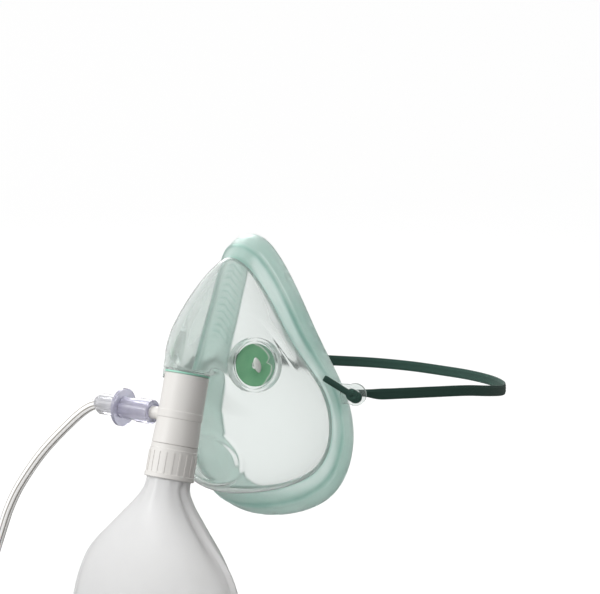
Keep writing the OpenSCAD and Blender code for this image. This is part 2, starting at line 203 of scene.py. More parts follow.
# ---------------------------------------------------------------- the oxygen tube, with its coil
TUBE_R = 0.00255
TUBE_SIDES = 32
TUBE_SPACING = 0.0022
TURN_GAP = 0.0001
INLET_Z = -0.0205
LINE_Y = PORT[1] + INLET_Z * UP[1]
COIL_AT = np.array([-0.104, LINE_Y, -0.160])
COIL_R = 0.0297
COIL_LAYERS, COIL_COLUMNS = 2, 5
COIL_START, TAIL_ARC = math.radians(155), math.radians(25)
TAIL_BEFORE_COIL = 0.013
CONNECTOR_TOP, CONNECTOR_GRIP = -0.200, 0.006
# the hanging run from the sleeve to the coil, in millimetres from LINE_Y
TUBE_ROUTE = np.array([
    (-46, 0, -4), (-51, 0, -4.6), (-56.5, 0, -7.4), (-62.5, 0, -12), (-70, 0, -18.8), (-78, 0, -26.5),
    (-86, 0, -35), (-94, 0, -45), (-101.7, 0, -56), (-107.8, 0, -67.5), (-112.6, 0, -79.5),
    (-116.6, -1, -91.5), (-120.4, -3, -104), (-124.7, -6, -117.5), (-130, -8.6, -131),
    (-135.3, -10.2, -146)]) / 1000 + np.array([0, LINE_Y, 0])


def on_coil(r, angle, y):
    """A point of the coil, from its middle."""
    return COIL_AT + np.array([r * math.cos(angle), y, r * math.sin(angle)])


def coil_turns(pitch):
    """Turns of the coil in the X-Z plane: the outer layer from front to back, then the inner one forward."""
    per_turn, shift_from = 40, 0.7
    order = [(1, c) for c in range(COIL_COLUMNS)] + [(0, c) for c in reversed(range(COIL_COLUMNS))]
    points = []
    for turn, (layer, column) in enumerate(order):
        after = order[min(turn + 1, len(order) - 1)]
        for k in range(per_turn):
            f = k / per_turn
            # the tube moves over to its next place in the last part of each turn
            w = smooth_step(f, shift_from, 1)
            row = layer + w * (after[0] - layer)
            across = column + w * (after[1] - column)
            points.append(on_coil(COIL_R + (row - (COIL_LAYERS - 1) / 2) * pitch,
                                  COIL_START + 2 * math.pi * f, (across - (COIL_COLUMNS - 1) / 2) * pitch))
    return np.array(points)


def tube_path():
    """The tube's whole centreline: the hanging run, the coil's turns and the tail to the connector."""
    turns = coil_turns(2 * TUBE_R + TURN_GAP)
    first_y = turns[0][1] - COIL_AT[1]
    tail_y = -TAIL_BEFORE_COIL - TUBE_R - TURN_GAP
    leave = [on_coil(COIL_R - TUBE_R, COIL_START + f * TAIL_ARC,
                     first_y + smooth_step(f, 0, 1) * (tail_y - first_y)) for f in np.arange(1, 13) / 12]
    foot = leave[-1].copy()
    foot[2] = CONNECTOR_TOP - CONNECTOR_GRIP
    down = [leave[-1] + (foot - leave[-1]) * f for f in (0.25, 0.5, 0.75, 1)]
    return np.vstack([through(TUBE_ROUTE, 6)[:-1], turns, leave, down])


def make_tube(line):
    """The tube, with each vertex's angle round it stored for the material."""
    piece = new_mesh("oxygen_tube_skin", *sweep(line, TUBE_R, TUBE_SIDES, (0, 1.0, 0)))
    q = angles_round(TUBE_SIDES)
    point_attribute(piece, "turn_cos", np.tile(np.cos(q), len(line)))
    point_attribute(piece, "turn_sin", np.tile(np.sin(q), len(line)))
    return piece


tube_line = tube_path()
tube = make_tube(resample(tube_line, TUBE_SPACING))


# ---------------------------------------------------------------- materials
LUMEN_RIBS = 8
STITCH = 0.0011


def material(name, color, roughness, **inputs):
    """A principled material and its node tree; inputs are sockets of its shader, with _ for a space."""
    mat = bpy.data.materials.new(name)
    mat.use_nodes = True
    set_shader(mat.node_tree, Base_Color=(*color, 1), Roughness=roughness, **inputs)
    return mat, mat.node_tree


def set_shader(tree, **inputs):
    for key, value in inputs.items():
        tree.nodes["Principled BSDF"].inputs[key.replace("_", " ")].default_value = value


def drive(tree, value, socket):
    """Links a value to a socket of the shader."""
    tree.links.new(value, tree.nodes["Principled BSDF"].inputs[socket])


def noise(tree, scale, detail, stretch=(1, 1, 1)):
    """Noise on the piece's own coordinates, which are in metres."""
    where = tree.nodes.new("ShaderNodeTexCoord")
    mapping = tree.nodes.new("ShaderNodeMapping")
    mapping.inputs["Scale"].default_value = stretch
    tree.links.new(where.outputs["Object"], mapping.inputs["Vector"])
    node = tree.nodes.new("ShaderNodeTexNoise")
    node.inputs["Scale"].default_value = scale
    node.inputs["Detail"].default_value = detail
    tree.links.new(mapping.outputs["Vector"], node.inputs["Vector"])
    return node.outputs["Fac"]


def bump(tree, height, strength, distance):
    """Small relief from a value."""
    node = tree.nodes.new("ShaderNodeBump")
    node.inputs["Strength"].default_value = strength
    node.inputs["Distance"].default_value = distance
    tree.links.new(height, node.inputs["Height"])
    drive(tree, node.outputs["Normal"], "Normal")


def ramp(tree, value, *stops):
    """A colour ramp on a value; each stop is a place and a colour."""
    node = tree.nodes.new("ShaderNodeValToRGB")
    elements = node.color_ramp.elements
    while len(elements) < len(stops):
        elements.new(0.5)
    for element, (place, color) in zip(elements, stops):
        element.position = place
        element.color = (*color, 1)
    tree.links.new(value, node.inputs["Fac"])
    return node.outputs["Color"]


def mottle(tree, value, dark, light):
    """Base colour between two shades, by a noise, which lies mostly between 0.3 and 0.7."""
    drive(tree, ramp(tree, value, (0.3, dark), (0.7, light)), "Base Color")


def mix(tree, fac, under, over):
    """A colour over another one, as far as a value says."""
    node = tree.nodes.new("ShaderNodeMixRGB")
    tree.links.new(fac, node.inputs["Fac"])
    tree.links.new(under, node.inputs["Color1"])
    node.inputs["Color2"].default_value = (*over, 1)
    return node.outputs["Color"]


def attribute(tree, name):
    node = tree.nodes.new("ShaderNodeAttribute")
    node.attribute_name = name
    return node.outputs["Fac"]


def calc(tree, operation, *values):
    """A math node; each value is a number or a socket."""
    node = tree.nodes.new("ShaderNodeMath")
    node.operation = operation
    for socket, value in zip(node.inputs, values):
        if isinstance(value, (int, float)):
            socket.default_value = value
        else:
            tree.links.new(value, socket)
    return node.outputs[0]


def clear_plastic():
    """Thin moulded plastic: mostly clear, a little milky, and milkier where it is seen edge on."""
    mat, tree = material("clear_shell_plastic", (0.87, 0.915, 0.895), 0.08, IOR=1.33)
    edge_on = tree.nodes.new("ShaderNodeLayerWeight")
    edge_on.inputs["Blend"].default_value = 0.35
    drive(tree, calc(tree, "MULTIPLY_ADD", edge_on.outputs["Facing"], -0.5, 0.9), "Transmission Weight")
    bump(tree, noise(tree, 35, 2), 0.08, 0.0005)
    return mat


def seal_elastomer():
    """Soft translucent elastomer, cloudy and darker by its thick field: along the lip's ribs this is painted
    shade, though the wall is also thicker there, and it is darker beside the beads and at the shell.
    """
    mat, tree = material("seal_elastomer", (0.62, 0.80, 0.73), 0.32, IOR=1.36, Transmission_Weight=0.72)
    # lighter by the noise and darker by the thick field, which carries painted shade along the ribs
    thin_and_unshaded = calc(tree, "MULTIPLY_ADD", attribute(tree, "thick"), -0.45, noise(tree, 45, 4))
    drive(tree, ramp(tree, thin_and_unshaded, (0.0, (0.40, 0.62, 0.56)), (0.35, (0.71, 0.87, 0.82)),
                     (0.65, (0.82, 0.94, 0.90))), "Base Color")
    bump(tree, noise(tree, 900, 2), 0.15, 0.0001)
    return mat


def ring_elastomer():
    """The same elastomer in the port's mouth, where it is seen edge on and so a deeper green."""
    mat, tree = material("ring_elastomer", (0.33, 0.66, 0.52), 0.35)
    cloudy = noise(tree, 90, 3)
    mottle(tree, cloudy, (0.28, 0.62, 0.48), (0.38, 0.72, 0.58))
    bump(tree, cloudy, 0.15, 0.0002)
    return mat


def flap_silicone():
    """Green silicone, greyer beyond the flap's raised line, with a painted highlight along it."""
    mat, tree = material("flap_silicone", (0.24, 0.56, 0.34), 0.42)
    cloudy = noise(tree, 160, 4)
    body = ramp(tree, cloudy, (0.3, (0.19, 0.50, 0.27)), (0.7, (0.25, 0.58, 0.33)))
    pale = mix(tree, attribute(tree, "beyond"), body, (0.27, 0.50, 0.36))
    # painted highlight: whitish along the raised line
    drive(tree, mix(tree, attribute(tree, "edge"), pale, (0.85, 0.93, 0.86)), "Base Color")
    bump(tree, cloudy, 0.2, 0.0003)
    return mat


def housing_plastic():
    """Satin white moulding with faint flow marks and a fine spark texture."""
    mat, tree = material("housing_plastic", (0.72, 0.70, 0.67), 0.36)
    mottle(tree, noise(tree, 55, 3, stretch=(1, 1, 0.25)), (0.68, 0.66, 0.63), (0.74, 0.725, 0.70))
    bump(tree, noise(tree, 1500, 2), 0.12, 0.00008)
    return mat


def bag_film():
    """Milky film with a soft haze and fine crinkles."""
    mat, tree = material("bag_film", (0.83, 0.83, 0.825), 0.34, Transmission_Weight=0.35)
    mottle(tree, noise(tree, 22, 3), (0.80, 0.80, 0.80), (0.86, 0.86, 0.855))
    bump(tree, noise(tree, 70, 4, stretch=(1, 1, 0.35)), 0.25, 0.001)
    return mat


def lavender_vinyl():
    """Soft clear vinyl with a lavender tint."""
    mat, tree = material("lavender_vinyl", (0.80, 0.79, 0.88), 0.1, IOR=1.4, Transmission_Weight=0.62)
    cloudy = noise(tree, 120, 3)
    mottle(tree, cloudy, (0.69, 0.68, 0.81), (0.78, 0.77, 0.87))
    bump(tree, cloudy, 0.15, 0.0004)
    return mat


def clear_vinyl():
    """Clear soft vinyl with a faint haze."""
    mat, tree = material("clear_vinyl", (0.80, 0.80, 0.83), 0.14, IOR=1.4, Transmission_Weight=0.62)
    bump(tree, noise(tree, 100, 3), 0.2, 0.0005)
    return mat


def lumen_vinyl():
    """Clear tube: the ribs of its star-shaped bore show through the wall as light and grey stripes, and the
    light stripes carry a painted glow.
    """
    # its emission colour is painted light, a glow on a part that is no lamp
    mat, tree = material("lumen_vinyl", (0.8, 0.79, 0.77), 0.2, IOR=1.4, Transmission_Weight=0.0,
                         Emission_Color=(0.9, 0.89, 0.87, 1))
    angle = calc(tree, "ARCTAN2", attribute(tree, "turn_sin"), attribute(tree, "turn_cos"))
    wave = calc(tree, "SINE", calc(tree, "MULTIPLY", angle, LUMEN_RIBS))
    stripe_and_glow = calc(tree, "MULTIPLY_ADD", wave, 0.5, 0.5)
    drive(tree, ramp(tree, stripe_and_glow, (0.0, (0.30, 0.28, 0.25)), (0.14, (0.46, 0.44, 0.40)),
                     (0.32, (0.94, 0.93, 0.915)), (1.0, (0.98, 0.975, 0.97))), "Base Color")
    # painted light: a glow on the light stripes, in place of the light that comes through the clear wall
    drive(tree, calc(tree, "MULTIPLY", stripe_and_glow, 0.16), "Emission Strength")
    bump(tree, stripe_and_glow, 0.05, 0.0002)
    return mat


def braided_elastic():
    """Dark green elastic, woven in fine stitches across its ribs."""
    mat, tree = material("braided_elastic", (0.03, 0.09, 0.065), 0.75, Sheen_Weight=0.12, Sheen_Roughness=0.4)
    rib = calc(tree, "SINE", calc(tree, "MULTIPLY", attribute(tree, "across"), 4 * math.pi))
    stitch = calc(tree, "SINE", calc(tree, "MULTIPLY", attribute(tree, "along"), 2 * math.pi / STITCH))
    height = calc(tree, "MULTIPLY_ADD", calc(tree, "MULTIPLY", rib, stitch), 0.5, 0.5)
    drive(tree, ramp(tree, height, (0.0, (0.008, 0.03, 0.022)), (0.5, (0.018, 0.065, 0.048)),
                     (1.0, (0.035, 0.11, 0.08))), "Base Color")
    bump(tree, height, 0.6, 0.0003)
    return mat


def paper_tie():
    """Matt white tie with a fine fibre."""
    mat, tree = material("paper_tie", (0.83, 0.83, 0.8), 0.7)
    fibre = noise(tree, 700, 5)
    mottle(tree, fibre, (0.76, 0.76, 0.73), (0.88, 0.88, 0.85))
    bump(tree, fibre, 0.3, 0.0001)
    return mat


def stud_plastic_and_highlight():
    """Milky natural plastic of the flap studs; its whitish colour is partly a painted highlight on the pins'
    heads.
    """
    mat, tree = material("stud_plastic_and_highlight", (0.78, 0.80, 0.77), 0.3, Transmission_Weight=0.2)
    cloudy = noise(tree, 500, 3)
    mottle(tree, cloudy, (0.70, 0.73, 0.69), (0.84, 0.86, 0.83))
    bump(tree, cloudy, 0.2, 0.0001)
    return mat


STUD_PLASTIC_AND_HIGHLIGHT = stud_plastic_and_highlight()
MATERIALS = {
    "clear_shell": clear_plastic(), "seal_green": seal_elastomer(), "flap_green": flap_silicone(),
    "flap_clear": clear_vinyl(), "elastic_green": braided_elastic(), "housing_white": housing_plastic(),
    "bag_film": bag_film(), "cuff_lavender": lavender_vinyl(), "tube_clear": lumen_vinyl(),
    "tie_white": paper_tie()}


def paint(piece, mat):
    """Puts one material over a whole piece."""
    piece.data.materials.clear()
    piece.data.materials.append(mat)


def dress(piece, slot):
    """Gives a new piece the finish of one of the record's slots."""
    paint(piece, MATERIALS[slot])


for entry in frame["record"]["subparts"]:
    paint(frame["nodes"][entry["node"]], MATERIALS[entry["material_slot"]])
# two CAD nodes look unlike the rest of their slot: the clear sleeve and the deep green ring
paint(frame["nodes"]["tube_sleeve"], MATERIALS["flap_clear"])
paint(frame["nodes"]["port_ring"], ring_elastomer())


# ---------------------------------------------------------------- mask: the outlines that part.scad uses
def both_sides(half):
    """A closed loop from its rows on the wearer's left, top to bottom."""
    half = np.array(half, float)
    flip = np.ones(half.shape[1])
    if half.shape[1] == 3:
        flip[0] = -1
    return np.concatenate([half, (half[1:-1] * flip)[::-1]])


def loop_spline(points, t):
    """Smooth closed loop that runs near its points; t counts points."""
    n = len(points)
    t = np.asarray(t, float) % n
    i = np.floor(t).astype(int)
    f = (t - i)[:, None]
    p = [points[(i + k - 1) % n] for k in range(4)]
    return ((1 - f) ** 3 * p[0] + (3 * f ** 3 - 6 * f ** 2 + 4) * p[1]
            + (-3 * f ** 3 + 3 * f ** 2 + 3 * f + 1) * p[2] + f ** 3 * p[3]) / 6


RIM_BACK = both_sides([(0, -7, 77), (10, -5, 73), (20.5, 1, 51), (29, 6, 27), (38, 12, 6), (45, 16, -14),
                       (45, 16, -37), (36, 14, -58), (19, 8, -67), (0, 3, -69)]) / 1000
RIM_FRONT = both_sides([(0, -27, 68), (9, -24, 63), (17.5, -17, 45), (27, -14, 23), (39.5, -4, 4),
                        (44, -2, -15), (42, -4, -33), (34, -11, -44), (18, -24, -48), (0, -31, -49)]) / 1000
SHOULDER = both_sides([(0, -43, 61), (14, -41, 58), (27, -38, 46), (35, -38, 27), (39, -36, 8),
                       (43, -36, -12), (43, -38, -32), (35, -46, -46), (19, -57, -53), (0, -61, -54)]) / 1000
LIFT = both_sides([(7,), (8,), (11,), (14,), (17,), (17,), (15,), (13,), (11,), (10,)]) / 1000
SPANS = len(RIM_BACK)
# the skin starts on a ring round the port's axis
NECK_R, NECK_Z = 0.011, 0.002
SHELL_SIDES, SHELL_RINGS, SHELL_WALL = 400, 110, 0.0010
# the frame of the exhalation valve on the wearer's left, and its seat
VALVE_AT = np.array([0.0266, -0.0421, 0.0198])
VALVE_LEAN, VALVE_YAW = math.radians(79), math.radians(-30)
VALVE_OUT = np.array([math.sin(VALVE_LEAN) * math.cos(VALVE_YAW),
                      math.sin(VALVE_LEAN) * math.sin(VALVE_YAW), math.cos(VALVE_LEAN)])
VALVE_RIGHT = np.array([math.sin(-VALVE_YAW), math.cos(VALVE_YAW), 0])
VALVE_UP = np.cross(VALVE_RIGHT, VALVE_OUT)
SEAT_R = 0.0132
# the shell meets the seat between these heights, and runs out into its own shape over the blend
SEAT_LOW, SEAT_HIGH, SEAT_BLEND = -0.0050, -0.0012, 0.013
# shell further than this from the seat, along its axis, belongs to the other cheek
VALVE_REACH = 0.03
HOLE_R, HOLE_DEPTH = SEAT_R - 0.0001, 0.024
# the oval panel at the chin: half width, half height, height of its middle, and its rim
OVAL_HALF_W, OVAL_HALF_H, OVAL_Z = 0.0175, 0.0135, -0.029
OVAL_RIM, OVAL_RIM_WIDTH, OVAL_RAISED = 0.0011, 0.08, 0.0005
OVAL_FADE = (0.03, 0.042)


def bezier(a, b, c, d, v):
    return (1 - v) ** 3 * a + 3 * (1 - v) ** 2 * v * b + 3 * (1 - v) * v ** 2 * c + v ** 3 * d


def smooth_normals(grid):
    """Normals averaged over their neighbours, so that an offset skin doesn't fold in a tight valley."""
    across = np.roll(grid, -1, 1) - np.roll(grid, 1, 1)
    normals = unit(np.cross(across, np.gradient(grid, axis=0)))
    for _ in range(6):
        total = 2 * normals + np.roll(normals, 1, 1) + np.roll(normals, -1, 1)
        total[1:-1] += normals[2:] + normals[:-2]
        normals = unit(total)
    return normals


def shell_grid():
    """The shell's outer surface, from the port's neck to the rim: rows x columns x 3."""
    t = np.arange(SHELL_SIDES) * SPANS / SHELL_SIDES
    angle = t / SPANS * 2 * np.pi
    start = PORT + NECK_R * (np.cos(angle)[:, None] * AHEAD + np.sin(angle)[:, None] * SIDE) + NECK_Z * UP
    v = np.linspace(0, 1, SHELL_RINGS + 1)[:, None, None]
    return bezier(start, start + loop_spline(LIFT, t) * UP, loop_spline(SHOULDER, t),
                  loop_spline(RIM_FRONT, t), v)


def shell_detail(grid):
    """Moves the shell's outer skin: it meets the valve seats, and has a rimmed oval at the chin."""
    for side in (1, -1):
        to = grid - VALVE_AT * mirror(side)
        out = VALVE_OUT * mirror(side)
        height = to @ out
        distance = np.linalg.norm(to - height[..., None] * out, axis=-1)
        weight = 1 - smooth_step(distance, SEAT_R, SEAT_R + SEAT_BLEND)
        weight = weight * (np.abs(height) < VALVE_REACH)
        target = np.clip(height, SEAT_LOW, SEAT_HIGH)
        grid = grid + ((target - height) * weight)[..., None] * out
    oval = np.sqrt((grid[..., 0] / OVAL_HALF_W) ** 2 + ((grid[..., 2] - OVAL_Z) / OVAL_HALF_H) ** 2)
    rim = hump(oval, 1, OVAL_RIM_WIDTH) * OVAL_RIM + (1 - smooth_step(oval, 0.8, 1.0)) * OVAL_RAISED
    front = smooth_step(-grid[..., 1], *OVAL_FADE)
    return grid + (rim * front)[..., None] * smooth_normals(grid)


def cut_valve_hole(shell, side):
    """Opens the shell inside a valve seat."""
    at, out = Vector(VALVE_AT * mirror(side)), Vector(VALVE_OUT * mirror(side))
    bm = bmesh.new()
    bmesh.ops.create_cone(bm, cap_ends=True, segments=96, radius1=HOLE_R, radius2=HOLE_R, depth=HOLE_DEPTH)
    mesh = bpy.data.meshes.new("cutter")
    bm.to_mesh(mesh)
    bm.free()
    cutter = bpy.data.objects.new("cutter", mesh)
    bpy.context.scene.collection.objects.link(cutter)
    cutter.matrix_world = Matrix.Translation(at) @ out.to_track_quat("Z", "Y").to_matrix().to_4x4()
    cut = shell.modifiers.new("cut", "BOOLEAN")
    cut.operation = "DIFFERENCE"
    cut.solver = "EXACT"
    cut.object = cutter
    bpy.context.view_layer.update()
    cut_shell = shell.evaluated_get(bpy.context.evaluated_depsgraph_get())
    done = bpy.data.meshes.new_from_object(cut_shell)
    shell.modifiers.clear()
    shell.data = done
    bpy.data.objects.remove(cutter)


def make_shell():
    outer = shell_detail(shell_grid())
    inner = outer + SHELL_WALL * smooth_normals(outer)
    skin = np.concatenate([outer, inner[::-1]])
    shell = new_mesh("mask_shell_skin", skin.reshape(-1, 3),
                     grid_faces(len(skin), SHELL_SIDES, wrap_rows=True))
    for side in (1, -1):
        cut_valve_hole(shell, side)
    return shell


shell = make_shell()
dress(shell, "clear_shell")
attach(shell, "mask")
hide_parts("mask_shell")

# ---------------------------------------------------------------- face seal
SEAL_SIDES, SEAL_WALL, LIP_REACH = 900, 0.0016, 0.010
ROLL_ROWS, LIP_ROWS = 29, 16
# how far the roll stands out, as a fraction of the seal's depth
ROLL_BULGE = 0.1
RIB_SLANT, RIB_PITCH, RIB_HEIGHT = 0.005, 0.0042, 0.0006
# places along the section: two beads with their heights and widths, and where the lip is ribbed and thins
BEADS = ((0.42, 0.0006, 0.035), (0.06, 0.0005, 0.04))
RIBS_START, RIBS_END = (0.5, 0.9), (1.75, 1.95)
LIP_THINS, LIP_THINNER = (1.3, 2.0), 0.45
# the nose's flanks, counted in the outline's points from the top
NOSE_START, NOSE_END = (1.0, 1.6), (3.2, 3.9)


def seal_path(a, b, around, back, out):
    """The seal's section at every point round it, and each row's place: 0 at the shell, 1 at the face, 2
    at the lip's edge."""
    run = b - a
    bulge = ROLL_BULGE * np.linalg.norm(run, axis=1, keepdims=True) * out
    roll_v = np.linspace(0, 1, ROLL_ROWS)
    lip_v = np.linspace(0, 1, LIP_ROWS + 1)[1:]
    path = [bezier(a, a + 0.35 * run + bulge, b - 0.25 * run + 2.2 * bulge, b, v) for v in roll_v]
    path += [bezier(b, b + 0.002 * back - 0.0015 * out, b - 0.6 * LIP_REACH * out + 0.0015 * back,
                    b - LIP_REACH * out - 0.002 * back, v) for v in lip_v]
    return np.array(path), np.concatenate([roll_v, 1 + lip_v])[:, None]


def nose_part(t):
    """1 along the flanks of the nose on both sides, where the lip is ribbed, and 0 elsewhere."""
    return sum(smooth_step(u, *NOSE_START) * (1 - smooth_step(u, *NOSE_END)) for u in (t, SPANS - t))


def make_seal():
    """The seal's section, swept round the mask: an outer roll, two beads and a lip turned in to the face."""
    t = np.arange(SEAL_SIDES) * SPANS / SEAL_SIDES
    a, b = loop_spline(RIM_FRONT, t), loop_spline(RIM_BACK, t)
    around = unit(loop_spline(RIM_FRONT, t + 0.2) - loop_spline(RIM_FRONT, t - 0.2))
    out = unit(np.cross(around, b - a))
    back = unit(np.cross(out, around))
    path, place = seal_path(a, b, around, back, out)
    inward = unit(np.cross(unit(np.gradient(path, axis=0)), around[None]))
    beads = sum(height * hump(place, at, width) for at, height, width in BEADS)
    s = arc_length(b)
    from_top = np.minimum(s, s[-1] - s)
    ribs = np.cos((from_top[None] - RIB_SLANT * (place - 1)) / RIB_PITCH * 2 * np.pi) * nose_part(t)[None]
    on_lip = smooth_step(place, *RIBS_START) * (1 - smooth_step(place, *RIBS_END))
    wall = SEAL_WALL * (1 - LIP_THINNER * smooth_step(place, *LIP_THINS))
    outer = path - beads[..., None] * inward
    inner = path + (wall + RIB_HEIGHT * on_lip * ribs)[..., None] * inward
    grid = np.concatenate([outer, inner[::-1]])
    seal = new_mesh("face_seal_skin", grid.reshape(-1, 3),
                    grid_faces(len(grid), SEAL_SIDES, wrap_rows=True))
    # where the colour is darker: beside the beads and where the seal meets the shell, and, as painted shade,
    # along the lip's ribs, which are also thicker there
    deep = (hump(place, 0.36, 0.05) + 1.2 * hump(place, 0, 0.08)) * np.ones((1, SEAL_SIDES))
    ribbed = deep + 1.5 * on_lip * np.maximum(0, ribs) ** 3
    point_attribute(seal, "thick", np.concatenate([deep, ribbed[::-1]]))
    return seal


seal = make_seal()
dress(seal, "seal_green")
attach(seal, "mask")
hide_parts("face_seal")

# ---------------------------------------------------------------- exhalation flaps and their pins
FLAP_R, FLAP_T, FLAP_LOW, FLAP_HOLE_R = 0.0104, 0.0005, -0.00235, 0.002
FLAP_SIDES, FLAP_RINGS = 180, 26
# where the raised line runs: the angle from the right, and the fraction of the radius
FLAP_EDGE = np.array([(-180, 1.2), (-110, 1.2), (-83, 0.95), (-51, 0.83), (-21, 0.78), (-5, 0.58), (8, 0.82),
                      (24, 0.86), (53, 0.87), (73, 1.0), (95, 1.2), (180, 1.2)])
MARGIN_DROP, EDGE_RISE, RIPPLE = 0.00022, 0.00016, 0.00012
PIN_SIDES, HEAD_RINGS = 48, 20
HEAD_HALF_LEN, PIN_HALF_W, HEAD_HEIGHT, HEAD_SKEW = 0.0038, 0.0019, 0.0011, 0.0006
# the stem's rows: a fraction of the half width, and a height
STEM = [(0.55, -0.00042), (0.52, -0.0012), (0.52, -0.0042), (0.3, -0.0044), (0.02, -0.0044)]


def in_valve(right, high, out, side):
    """Points given in the frame of a valve, on either cheek."""
    at = (VALVE_AT + np.multiply.outer(right, VALVE_RIGHT) + np.multiply.outer(high, VALVE_UP)
          + np.multiply.outer(out, VALVE_OUT))
    return at * mirror(side)


def make_flap(name, side):
    """A thin disc with a hole for its pin, and a lower margin beyond a raised, wavy line on one side."""
    angle = angles_round(FLAP_SIDES)
    turn = (np.degrees(angle) + 180) % 360 - 180
    rho = np.linspace(FLAP_HOLE_R / FLAP_R, 1, FLAP_RINGS)[:, None]
    edge_at = np.interp(turn, FLAP_EDGE[:, 0], FLAP_EDGE[:, 1])[None]
    beyond = smooth_step(rho, edge_at - 0.02, edge_at + 0.03)
    on_edge = hump(rho, edge_at, 0.034)
    ripple = RIPPLE * np.sin(3 * angle[None] + 5 * rho) * rho ** 2
    top = FLAP_LOW + FLAP_T - MARGIN_DROP * beyond + EDGE_RISE * on_edge + ripple
    base = FLAP_LOW + np.minimum(ripple, 0)
    right, high = rho * FLAP_R * np.cos(angle)[None], rho * FLAP_R * np.sin(angle)[None]
    grid = np.concatenate([in_valve(right, high, top, side), in_valve(right, high, base, side)[::-1]])
    flap = new_mesh(name, grid.reshape(-1, 3),
                    grid_faces(2 * FLAP_RINGS, FLAP_SIDES, wrap_rows=True, flip=side > 0))
    for field_name, field in (("beyond", beyond), ("edge", on_edge)):
        point_attribute(flap, field_name, np.concatenate([field, 0 * field]))
    return flap


def make_pin(name, side):
    """A toggle headed pin: a round stem and a head drawn out to two blunt points."""
    angle = angles_round(PIN_SIDES)
    head = [(0.02 + 0.98 * math.sin(a), HEAD_HEIGHT * math.cos(a))
            for a in np.linspace(0.03, math.pi * 0.62, HEAD_RINGS)]
    head_taper = 1 - 0.24 * np.abs(np.sin(angle)) ** 3
    rows = []
    for part, half_len, taper in ((head, HEAD_HALF_LEN, head_taper), (STEM, PIN_HALF_W, 1)):
        for r, height in part:
            right = r * PIN_HALF_W * np.cos(angle) * taper + HEAD_SKEW * r * np.sin(angle)
            rows.append(in_valve(right, r * half_len * np.sin(angle), height + 0 * angle, side))
    flip = side > 0
    return new_mesh(name, np.array(rows).reshape(-1, 3),
                    grid_faces(len(rows), PIN_SIDES, flip=flip) + end_caps(len(rows), PIN_SIDES, flip))


for word, side in (("left", 1), ("right", -1)):
    flap = make_flap("flap_disc_" + word, side)
    dress(flap, "flap_green")
    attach(flap, "flap_" + word)
    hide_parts("exhalation_flap_" + word)
    pin = make_pin("flap_stud_" + word, side)
    dress(pin, "clear_shell")
    # the studs' whitish finish is partly a painted highlight on their heads
    paint(pin, STUD_PLASTIC_AND_HIGHLIGHT)
    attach(pin, "mask")
    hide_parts("flap_pin_" + word)

# ---------------------------------------------------------------- head strap
# the band's middle line on the wearer's left, from the lug to the back of the head, in millimetres
STRAP_HALF = np.array([(49.2, 12.9, -2), (50, 17, -2.8), (53, 27, -5), (57.5, 42, -7), (63.5, 62, -9.5),
                       (69, 84, -12.5), (70, 106, -17), (65, 127, -21.5), (54, 147, -25), (38, 162, -27),
                       (19, 170, -28), (0, 172.5, -28.5)]) / 1000
STRAP_SIDES, STRAP_SPACING = 48, 0.0012
ELASTIC_R = 0.0016
# over this distance from a lug the gathered elastic opens out into the flat band
STRAP_OPENS = (0.001, 0.017)
STRAP_WIDER, STRAP_THINNER = 0.0012, 0.0009
# the power that squares its section, and the height of its ribs as a fraction of its thickness
STRAP_SQUARE, STRAP_RIB = 0.55, 0.16


def make_strap():
    """Flat elastic with raised ribs, gathered where it enters the lugs."""
    route = np.concatenate([STRAP_HALF, (STRAP_HALF[:-1] * mirror(-1))[::-1]])
    line = resample(through(route, 12), STRAP_SPACING)
    heading = unit(np.gradient(line, axis=0))
    side = unit(np.cross(heading, WORLD_UP))
    high = np.cross(side, heading)
    s = arc_length(line)
    open_up = smooth_step(np.minimum(s, s[-1] - s), *STRAP_OPENS)[:, None]
    half_w = ELASTIC_R + open_up * STRAP_WIDER
    half_t = ELASTIC_R - open_up * STRAP_THINNER
    # a rounded flat section with ribs along its two faces
    q = angles_round(STRAP_SIDES)
    x, y = (np.sign(v) * np.abs(v) ** STRAP_SQUARE for v in (np.cos(q), np.sin(q)))
    ribs = 1 + STRAP_RIB * np.cos(x * 4 * np.pi) * (np.abs(x) < 0.97)
    verts = (line[:, None] + (x[None] * half_w)[..., None] * high[:, None]
             + (y[None] * ribs[None] * half_t)[..., None] * side[:, None])
    strap = new_mesh("head_strap_elastic", verts.reshape(-1, 3),
                     grid_faces(len(line), STRAP_SIDES, flip=True) + end_caps(len(line), STRAP_SIDES))
    point_attribute(strap, "along", np.repeat(s, STRAP_SIDES))
    point_attribute(strap, "across", np.tile(x, len(line)))
    return strap


strap = make_strap()
dress(strap, "elastic_green")
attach(strap, "strap")
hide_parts("head_strap")

# ---------------------------------------------------------------- knots and free tails of the strap
LUG_AT = np.array([0.050, 0.009, -0.002])
LUG_YAW = math.radians(20)
LUG_FORWARD = np.array([math.sin(LUG_YAW), -math.cos(LUG_YAW), 0])
LUG_SIDEWAYS = np.array([math.cos(LUG_YAW), math.sin(LUG_YAW), 0])
KNOT_AT = LUG_AT + 0.0036 * LUG_FORWARD
KNOT_TURNS, WRAP_R = 2.2, 0.00158
TAIL_RUN = np.array([-0.0115, -0.009, 0.0095])
TAIL_TIP_R, TAIL_FLATTEN = 0.0014, 0.85
LUG_STUB = (-0.0022, 0.0028)
END_SIDES = 20


